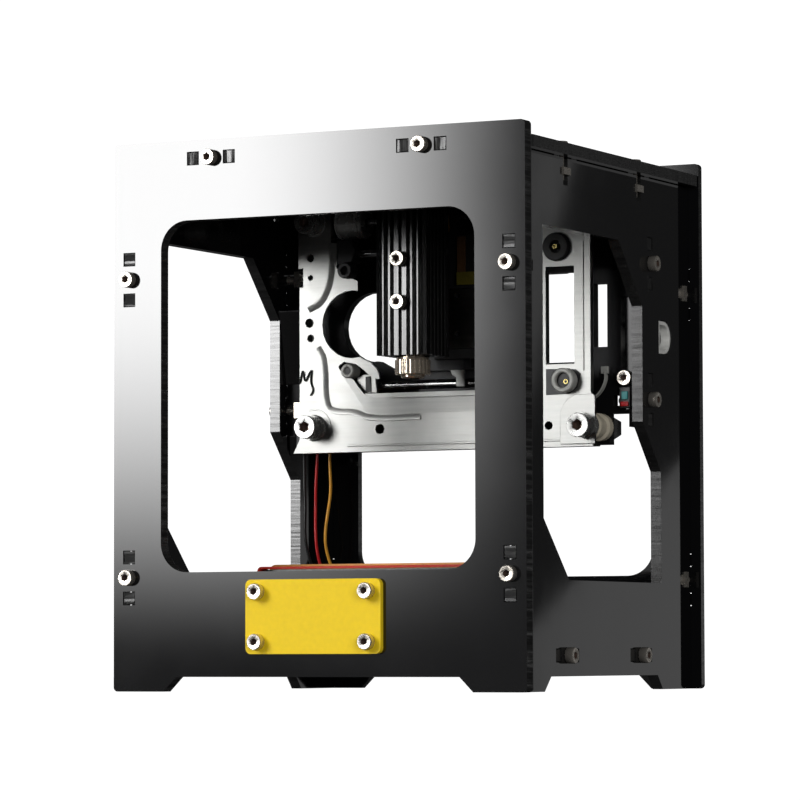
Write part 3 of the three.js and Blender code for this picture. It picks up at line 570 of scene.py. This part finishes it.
def sheet_details():
    """Pressed ridges, the sloped flange along the carriage's way, and the tab at the lower right."""
    ramp = [(-1.6, -0.1), (-0.9, 0.12), (0.15, 0.68), (0.85, 0.7), (1.05, -0.1)]
    lower = rounded(on_sheet([(-50.0, 123.0), (-47.0, 118.5), (-46.8, 101.5), (-42.5, 99.4),
                              (-34.5, 99.4), (-29.5, 96.6), (-8.6, 96.9)]))
    add("chassis_ridge_lower", swept(lower, ramp, -Y), "zinc")
    crest = [(-2.4, -0.1), (-1.1, 0.15), (-0.1, 0.68), (0.6, 0.7), (0.8, -0.1)]
    upper = rounded(on_sheet([(-44.8, 160.5), (-44.8, 147.6), (-48.6, 139.6), (-54.0, 137.4)]))
    add("chassis_ridge_upper", swept(upper, crest, -Y), "zinc")
    groove = [(-0.5, -0.1), (-0.25, 0.35), (0.25, 0.35), (0.5, -0.1)]
    add("chassis_ridge_right", swept(on_sheet([(54.9, 157), (54.9, 111.5)]), groove, -Y), "zinc")
    ring = [Vector((-51.5 + x, SHEET_Y, 94 + z)) for x, z in ring_of((0, 0), 6.6, 24, -0.6, 1.9)]
    add("chassis_ridge_bolt", swept(ring, [(-0.35, -0.1), (-0.2, 0.25), (0.2, 0.25), (0.35, -0.1)], -Y),
        "zinc")

    outer = [(-40.6, 113.6), (-30.7, 99.7), (-28.4, 98.4), (38.0, 98.4)]
    inner = [(-38.9, 115.2), (-31.2, 105.7), (-27.4, 104.3), (38.0, 104.3)]
    bm = bmesh.new()
    section = ((outer, 0), (outer, 0.05), (inner, 0.4), (inner, 0))
    rows = [[bm.verts.new((x, SHEET_Y - proud, z)) for x, z in line] for line, proud in section]
    for i in range(3):
        for a, b in zip(rows, rows[1:] + rows[:1]):
            bm.faces.new((a[i], a[i + 1], b[i + 1], b[i]))
    for i in (0, 3):
        bm.faces.new([row[i] for row in rows])
    add("chassis_flange", bm, "zinc", bevel=0.1)

    corner = ring_of((54.0, 95.5), 7.7, 8, 1.75, math.pi)
    tab = [(46.2, 85.8), (59.8, 85.8), (59.8, 102.4), (58.9, 103.2), *corner]
    add("chassis_tab", extruded(tab, "y", SHEET_Y - 0.95, SHEET_Y - 0.05), "zinc",
        bevel=0.15)
    rim = [(-38, 86.9), (58, 86.9), (58, 87.7), (-38, 87.7)]
    add("chassis_rim_bead", extruded(rim, "y", SHEET_Y - 0.5, SHEET_Y + 0.1), "zinc",
        bevel=0.15)


def bush(name, x, z, front, rings, material):
    """A round piece whose face looks to the front. Its rings are (radius, depth behind the face)."""
    add(name, lathe([(r, -depth) for r, depth in rings][::-1], 36), material, place=aim((x, front, z), -Y))


def bushes():
    """Rubber bushes and their screws, which hold the ends of the two rods."""
    def blind(radius, hole):
        return ((0.2, 2.4), (hole, 2.2), (hole, 0.3), (hole + 0.3, 0), (radius - 0.4, 0), (radius, 0.4),
                (radius, 5.5))

    glint = ((0.2, 1.0), (0.5, 0.2), (0.6, 0), (0.8, 0), (0.9, 0.2), (0.9, 4))
    bush("bush_upper_left", -38.4, 150.4, 20.2, blind(2.9, 1.4), "dark_plastic")
    bush("bush_lower_left", -37.1, 114.1, 19.8, blind(2.6, 1.35), "grey_plastic")
    # Black discs at the bottom of two bushes' holes: painted shade in the holes.
    bush("bush_hole_shade_lower_left", -37.1, 114.1, 20.4, ((0.2, 0), (1.3, 0), (1.3, 1.5)), "rubber")
    bush("bush_hole_shade_lower_right", 48.4, 108.1, 19.6, ((0.2, 0), (2.6, 0), (2.6, 0.5)), "rubber")
    bush("bush_upper_right", 45.0, 155.3, 20.2, blind(5.0, 2.0), "rubber")
    bush("bush_screw_upper_right", 45.0, 155.3, 19.9, glint, "brass")
    bush("bush_lower_right", 48.4, 108.1, 18.2, blind(4.3, 2.7), "grey_plastic")
    bush("bush_screw_lower_right", 49.3, 107.6, 19.3, glint, "brass")


def rod_ends():
    """Painted shade: a dark sheet in the pocket of the lower right bush and a black patch in the slot of the
    lower holder. Also the holders of the rods' left ends and a wire clip.
    """
    # A thin dark sheet over the bush's pocket: painted shade of the opening.
    pocket = [(40.6, 112.4), (52.0, 112.0), (54.0, 110.4), (52.6, 105.6), (49.6, 103.4), (40.6, 103.2)]
    add("bush_pocket_shade_lower_right", extruded(pocket, "y", SHEET_Y - 0.12, SHEET_Y + 0.1), "dark_plastic")
    holder = [(-35.8, 106.4), (-26.8, 106.0), (-27.5, 112.6), (-32.4, 112.8), (-34.9, 111.7)]
    add("rod_end_lower_left", extruded(holder, "y", 23.4, 24.4), "zinc", bevel=0.15)
    # A black patch on the holder: painted shade in its slot.
    slot = [(-31.3, 106.5), (-29.1, 106.4), (-29.3, 112.1), (-31.3, 112.0)]
    add("rod_end_slot_shade", extruded(slot, "y", 23.1, 23.5), "rubber")
    block = [(-44.0, 153.0), (-41.0, 152.4), (-36.4, 153.6), (-35.0, 158.0), (-37.4, 162.0), (-42.6, 161.6)]
    add("rod_end_upper_left", extruded(block, "y", 22.6, 30.0), "dark_plastic", bevel=0.5)
    bends = [(-57.4, 110.2), (-55.9, 116.2), (-55.4, 110.0), (-53.4, 113.8), (-52.2, 115.4), (-53.0, 110.6),
             (-51.6, 107.6), (-53.0, 105.8)]
    wire = rounded(on_sheet(bends, SHEET_Y - 0.4), 2)
    add("chassis_clip", swept(wire, ring_of((0, 0), 0.3, 8), -Y), "rubber")


def lead_clip():
    """A dark clip in the middle plate's left notch, beside the motor leads."""
    low, high = node_box("middle_plate")
    clip = box((-66.2, -59.3), (low.y + 0.1, high.y - 0.1), (87.0, 96.5))
    add("lead_clip", clip, "dark_plastic", bevel=0.4)


def right_side_details():
    """The strap and the small plug that show between the middle plate and the right panel."""
    bends = on_sheet([(59.8, 111.5), (60.2, 108.4), (58.2, 104.2), (54.5, 101.4)], 30)
    add("strap", swept(rounded(bends), [(-0.25, -1), (0.25, -1), (0.25, 1), (-0.25, 1)], Y), "grey_plastic")
    add("strap_head", box((58.2, 61.0), (29.4, 30.6), (110.6, 113.2)), "grey_plastic", bevel=0.2)
    body, face = (PLATE_FRONT - 2.0, PLATE_FRONT - 0.05), (PLATE_FRONT - 2.5, PLATE_FRONT - 1.9)
    add("plug_body", box((63.6, 67.8), body, (98.6, 106.0)), "chip", bevel=0.3)
    add("plug_teal", box((64.6, 67.0), face, (101.6, 104.4)), "teal", bevel=0.2)
    add("plug_red", box((64.2, 67.2), face, (99.2, 100.8)), "red_wire", bevel=0.2)
    side = node_box("right_side_panel")
    middle, flat, width = (50, 124), 44.5, 6

    def d_shape(r):
        start = flat + width - r
        arc = ring_of(middle, r, 13, -math.pi / 2, math.pi / 2)
        return [(start, middle[1] - r), *arc, (start, middle[1] + r)]

    liner = extruded(d_shape(5.75), "x", side[0].x + 0.4, side[1].x - 0.3, [d_shape(4.4)])
    add("cable_liner", liner, "white_plastic", bevel=0.15)


# ------------------------------------------------------------------ the laser head
def heat_sink():
    """A finned block: two flat ribs in the middle of the front, round-tipped ones beside them."""
    low, high = node_box("heat_sink")
    middle = (low.x + high.x) / 2
    front, back = low.y, high.y
    deep, side_deep, half, tip, crisp = 2.4, 2.2, 0.6, 0.3, 0.06
    centres = [middle - 0.4 + offset for offset in (-7.9, -5.6, -3.05, 0, 3.05, 5.6, 7.9)]
    outline = [(low.x, front + tip)]
    for i, centre in enumerate(centres):
        a, b = centre - half, centre + half
        before = crisp if i in (3, 4) else tip
        after = crisp if i in (2, 3) else tip
        outline += [(a - before, front), (a, front + before), (a, front + deep), (b, front + deep),
                    (b, front + after), (b + after, front)]
    outline.append((high.x, front + tip))

    def side_groove(x, inward, y, up):
        near, far = y - up * half, y + up * half
        return [(x, near - up * tip), (x + inward * tip, near), (x + inward * side_deep, near),
                (x + inward * side_deep, far), (x + inward * tip, far), (x, far + up * tip)]

    rows = [-4.8, -2.0, 0.8, 3.6, 6.4]
    for y in rows:
        outline += side_groove(high.x, -1, y, 1)
    outline += [(high.x, back), (low.x, back)]
    for y in rows[::-1]:
        outline += side_groove(low.x, 1, y, -1)
    bore = ring_of((middle, 1.0), 6.1, 32)
    add("heat_sink_fine", extruded(outline, "z", low.z, high.z, [bore]), "anodised", "laser_head",
        ("heat_sink",), sharp=30)


def laser():
    """The module, with its lens, and the knurled ring that is turned to focus it."""
    low, high = node_box("laser_module")
    place = Matrix.Translation(((low.x + high.x) / 2, (low.y + high.y) / 2, 0))
    tip, top = low.z, high.z
    body = lathe([(2.4, tip + 4), (2.6, tip + 0.3), (3.0, tip), (3.9, tip), (4.2, tip + 0.4), (4.2, 118),
                  (5.6, 118), (5.8, 118.3), (5.8, top - 0.3), (5.5, top)], 40)
    add("laser_module_fine", body, "champagne", "laser_head", ("laser_module",), place)
    lens = lathe([(0.2, tip + 1.4), (1.4, tip + 1.7), (2.45, tip + 2.4), (2.45, tip + 3.4)], 32)
    add("laser_lens", lens, "teal", "laser_head", (), place)
    low, high = node_box("focus_ring")
    knurls, sides = 24, 216

    def knurled(angle):
        return 6.3 - 0.1 * (1 + math.cos(knurls * angle))

    ring = lathe([(4.5, low.z + 0.5), (4.8, low.z), (5.9, low.z), (knurled, low.z + 0.3),
                  (knurled, high.z - 0.9), (5.7, high.z - 0.7), (5.7, high.z), (4.8, high.z),
                  (4.5, high.z - 0.5)], sides, hollow=True)
    add("focus_ring_fine", ring, "champagne", "focus", ("focus_ring",), place)


def carriage_details():
    """The steel slider plate beside the heat sink, its clip on the rod and two ribbon leads."""
    holes = [ring_of((4.9, z), 0.95, 16) for z in (126.1, 139.8)]
    plate = extruded([(-3.5, 121), (14.5, 121), (14.5, 142.4), (-3.5, 142.4)], "y", 24.0, 24.6, holes)
    add("slider_plate", plate, "zinc", "laser_head", bevel=0.1)
    add("slider_shoe", box((-4, 14), (23.6, 24.7), (117.2, 120.8)), "chip", "laser_head", bevel=0.3)
    hook = [(1.6, 113.6), (2.6, 116.2), (3.8, 113.9), (7.2, 113.8), (7.4, 107.4), (3.8, 107.5),
            (4.0, 110.8), (2.4, 111.6)]
    add("rod_clip", extruded(hook, "y", 24.9, 25.7), "zinc", "laser_head", bevel=0.15)
    upright = box((4.9, 8.3), (23.9, 24.2), (146, 161))
    across = box((4.8, 12.2), (23.6, 23.9), (143.6, 148.2))
    # The ribbons' colours carry painted shade.
    add("ribbon_upright", upright, "shaded_brown_ribbon", "laser_head", bevel=0.1)
    add("ribbon_across", across, "shaded_olive_ribbon", "laser_head", bevel=0.1)
    bends = ((1, 160), (1, 172), (3, 175), (10, 176), (19, 174.5), (25.5, 170), (26, 163))
    for i, (x, colour) in enumerate(((-3.2, "red"), (-1.3, "black"), (0.6, "orange"))):
        path = rounded([Vector((x, y, z)) for y, z in bends])
        lead = swept(path, ring_of((0, 0), 0.5, 10), X)
        add(f"laser_lead_{i + 1}", lead, f"{colour}_wire", "laser_head")


# ------------------------------------------------------------------ motors and lead screws
def motor(node, direction):
    """A small stepper motor's can, with a flange ring and a blind bore at each end."""
    low, high = node_box(node)
    direction = Vector(direction)
    middle = (low + high) / 2
    length = abs((high - low).dot(direction))
    radius = (high.z - low.z) / 2
    bore, neck, wall = 1.9, radius - 0.45, radius - 0.1
    flange = ((radius - 0.5, 0), (radius, 0.4), (radius, 1.0), (neck, 1.1), (neck, 1.6), (wall, 1.8))
    far_flange = [(r, length - height) for r, height in flange[::-1]]
    can = lathe([(bore, length * 0.3), (bore, 0), *flange, *far_flange, (bore, length),
                 (bore, length * 0.6)], 48)
    place = aim(middle - direction * length / 2, direction)
    add(f"{node}_fine", can, "can", "frame", (node,), place)


def lead_screw(node, direction, body):
    low, high = node_box(node)
    direction = Vector(direction)
    length = (high - low).dot(direction)
    radius = (high.z - low.z) / 2
    start = (low + high) / 2 - direction * length / 2
    pitch = 3.0
    rings = [(0.7, 0), (0.9, 0.2), (0.9, 2.6), *thread(radius, pitch, 3.0, length - 2.6, 0.35),
             (0.9, length - 2.4), (0.9, length - 0.2), (0.7, length)]
    add(f"{node}_fine", lathe(rings, 24), "steel", body, (node,), aim(start, direction))


def rods():
    for node, direction in (("x_rod_lower", X), ("x_rod_upper", X), ("y_rod_left", Y), ("y_rod_right", Y)):
        low, high = node_box(node)
        length = (high - low).dot(direction)
        radius = (high.z - low.z) / 2
        start = (low + high) / 2 - direction * length / 2
        rod = lathe([(radius - 0.3, 0), (radius, 0.3), (radius, length - 0.3), (radius - 0.3, length)], 32)
        add(f"{node}_fine", rod, "steel", "frame", (node,), aim(start, direction))


# ------------------------------------------------------------------ leads and control board
LEADS = {
    "red": ((-40.2, 46, 156), (-50, 44, 150), (-58, 43, 136), (-61, 44, 112), (-62.7, 45.5, 86),
            (-63.5, 45.5, 68), (-62.4, 45.5, 48), (-57, 50, 34), (-46, 56.5, 30.5), (-37, 56.2, 33)),
    "orange": ((-40.2, 47, 152), (-48, 47, 146), (-54, 46.5, 132), (-56.5, 46, 110), (-57.6, 45.5, 86),
               (-57.3, 45.5, 72), (-59.3, 45.5, 52), (-54, 51, 36), (-44, 58.5, 33), (-35, 56.4, 31)),
    "black": ((-40.2, 46.4, 161), (-53, 45, 158), (-62, 42, 140), (-65.5, 42, 112), (-66.8, 43, 86),
              (-66.5, 43, 68), (-66, 44, 50), (-60, 52, 28), (-46, 58.5, 26.5), (-37, 56.2, 28.5)),
}


def through(points, steps=8):
    """A smooth curve that passes through every point."""
    points = [Vector(p) for p in points]
    ends = [2 * points[0] - points[1], *points, 2 * points[-1] - points[-2]]
    path = []
    for a, b, c, d in zip(ends, ends[1:], ends[2:], ends[3:]):
        for i in range(steps):
            t = i / steps
            path.append(0.5 * (2 * b + (c - a) * t + (2 * a - 5 * b + 4 * c - d) * t ** 2
                               + (3 * b - a - 3 * c + d) * t ** 3))
    return [*path, points[-1]]


def leads():
    for colour, points in LEADS.items():
        node, wire = f"motor_lead_{colour}", f"{colour}_wire"
        bm = swept(through(points), ring_of((0, 0), 0.55, 12), Y)
        add(f"{node}_fine", bm, wire, "frame", (node,))


def board_parts():
    """Plugs, capacitors and a data socket on the back of the control board."""
    tallest_chip = 3.0
    back = node_box("control_board")[1].y - tallest_chip
    for i, x in enumerate((-34, -24, 16, 26)):
        plug = box((x, x + 6), (back - 0.1, back + 5), (171, 176))
        add(f"board_plug_{i + 1}", plug, "white_plastic", bevel=0.2)
    for i, x in enumerate((-12.0, 12.0)):
        add(f"board_capacitor_{i + 1}", lathe([(2.4, 0), (2.5, 0.4), (2.5, 5.2), (2.2, 5.6)], 28), "chip",
            place=aim((x, back - 0.1, 155.0), Y), sharp=30)
    add("board_data_socket", box((28, 36), (back - 0.1, back + 4), (151, 156.5)), "zinc", bevel=0.3)
    for i in range(8):
        x = -5 + 1.4 * i
        add(f"board_pin_{i + 1}", box((x - 0.3, x + 0.3), (back - 0.1, back + 6), (174.5, 175.1)), "brass")


sheet_details()
bushes()
rod_ends()
lead_clip()
right_side_details()
heat_sink()
laser()
carriage_details()
motor("x_motor", X)
motor("y_motor", Y)
lead_screw("x_lead_screw", X, "x_screw")
lead_screw("y_lead_screw", Y, "y_screw")
rods()
leads()
board_parts()


# ------------------------------------------------------------------ floor, world and lights
def emission(name, build):
    material = bpy.data.materials.new(name)
    material.use_nodes = True
    tree = material.node_tree
    tree.nodes.clear()
    out = tree.nodes.new("ShaderNodeOutputMaterial")
    shine = tree.nodes.new("ShaderNodeEmission")
    tree.links.new(shine.outputs[0], out.inputs[0])
    build(tree, shine)
    return material


def polygon(name, points, material):
    mesh = bpy.data.meshes.new(name)
    mesh.from_pydata([Vector(p) for p in points], [], [range(len(points))])
    mesh.materials.append(material)
    obj = bpy.data.objects.new(name, mesh)
    bpy.context.collection.objects.link(obj)
    return obj


def add_floor():
    """A pale floor, lit evenly."""
    def build(tree, shine):
        shine.inputs["Strength"].default_value = 1.05

    half, clear = 0.7, 0.0002
    corners = [(x * half, y * half, FLOOR_Z - clear) for x, y in ((-1, -1), (1, -1), (1, 1), (-1, 1))]
    floor = polygon("floor", corners, emission("floor", build))
    floor.visible_glossy = False
    floor.visible_diffuse = False


def add_world():
    """White behind the object, dim grey in reflections."""
    world = bpy.data.worlds.new("studio")
    bpy.context.scene.world = world
    world.use_nodes = True
    tree = world.node_tree
    sky = tree.nodes["Background"]
    white = tree.nodes.new("ShaderNodeBackground")
    white.inputs["Color"].default_value = (1, 1, 1, 1)
    white.inputs["Strength"].default_value = 1.1
    sky.inputs["Color"].default_value = (1, 1, 1, 1)
    sky.inputs["Strength"].default_value = 0.035
    mix = tree.nodes.new("ShaderNodeMixShader")
    path = tree.nodes.new("ShaderNodeLightPath")
    tree.links.new(path.outputs["Is Camera Ray"], mix.inputs["Fac"])
    tree.links.new(sky.outputs[0], mix.inputs[1])
    tree.links.new(white.outputs[0], mix.inputs[2])
    tree.links.new(mix.outputs[0], tree.nodes["World Output"].inputs[0])


FRONT_CARD_Y, BACK_CARD_Y = -1.504, 1.5  # planes of the cards that the panels mirror


def hide_card(card):
    """A card shows in reflections only."""
    card.visible_diffuse = False
    card.visible_camera = False


def add_key_card():
    """The big softbox at the front left, brightest at its far upper end."""
    peak, base = 14.0, 0.12

    def build(tree, shine):
        where = tree.nodes.new("ShaderNodeTexCoord")
        parts = tree.nodes.new("ShaderNodeSeparateXYZ")
        tree.links.new(where.outputs["Object"], parts.inputs[0])
        across = fall(tree, parts.outputs["X"], -0.83, -0.565)
        up = fall(tree, parts.outputs["Z"], 0.3, 0.0)
        both = tree.nodes.new("ShaderNodeMath")
        both.operation = "MULTIPLY"
        tree.links.new(across, both.inputs[0])
        tree.links.new(up, both.inputs[1])
        scaled = tree.nodes.new("ShaderNodeMath")
        scaled.operation = "MULTIPLY_ADD"
        tree.links.new(both.outputs[0], scaled.inputs[0])
        scaled.inputs[1].default_value = peak
        scaled.inputs[2].default_value = base
        tree.links.new(scaled.outputs[0], shine.inputs["Strength"])

    def fall(tree, value, bright, dark):
        node = tree.nodes.new("ShaderNodeMapRange")
        node.interpolation_type = "SMOOTHSTEP"
        tree.links.new(value, node.inputs["Value"])
        node.inputs["From Min"].default_value = dark
        node.inputs["From Max"].default_value = bright
        return node.outputs["Result"]

    corners = [(x, FRONT_CARD_Y, z) for x, z in ((-1.5, -0.3), (-0.35, -0.3), (-0.35, 0.9), (-1.5, 0.9))]
    hide_card(polygon("key_card", corners, emission("key_card", build)))


def add_side_cards():
    """Two dim cards far behind at the right, which the right panel mirrors."""
    def glow(strength):
        def build(tree, shine):
            shine.inputs["Strength"].default_value = strength
        return build

    low = [(0.60, -0.1), (0.812, -0.1), (0.812, 0.02), (0.60, 0.232)]
    high = [(0.764, 0.45), (0.764, 0.378), (0.779, 0.327), (0.795, 0.223), (0.812, 0.17), (0.812, 0.45)]
    for name, outline, strength in (("low_card", low, 0.36), ("high_card", high, 0.27)):
        corners = [(x, BACK_CARD_Y, z) for x, z in outline]
        hide_card(polygon(name, corners, emission(name, glow(strength))))


def add_area(name, place, target, size, power):
    data = bpy.data.lights.new(name, "AREA")
    data.shape = "RECTANGLE"
    data.size, data.size_y = size
    data.energy = power
    light = bpy.data.objects.new(name, data)
    turn = (Vector(place) - Vector(target)).to_track_quat("Z", "Y")
    light.matrix_world = Matrix.LocRotScale(Vector(place), turn, None)
    bpy.context.collection.objects.link(light)
    light.visible_glossy = False
    return light


add_floor()
add_world()
add_key_card()
add_side_cards()
add_area("key", (-0.8, -1.1, 0.7), (0, 0, 0.1), (0.8, 0.8), 18)
add_area("fill", (0.9, -0.9, 0.3), (0, 0, 0.1), (0.6, 0.6), 8)
bpy.context.scene.view_settings.view_transform = "Standard"
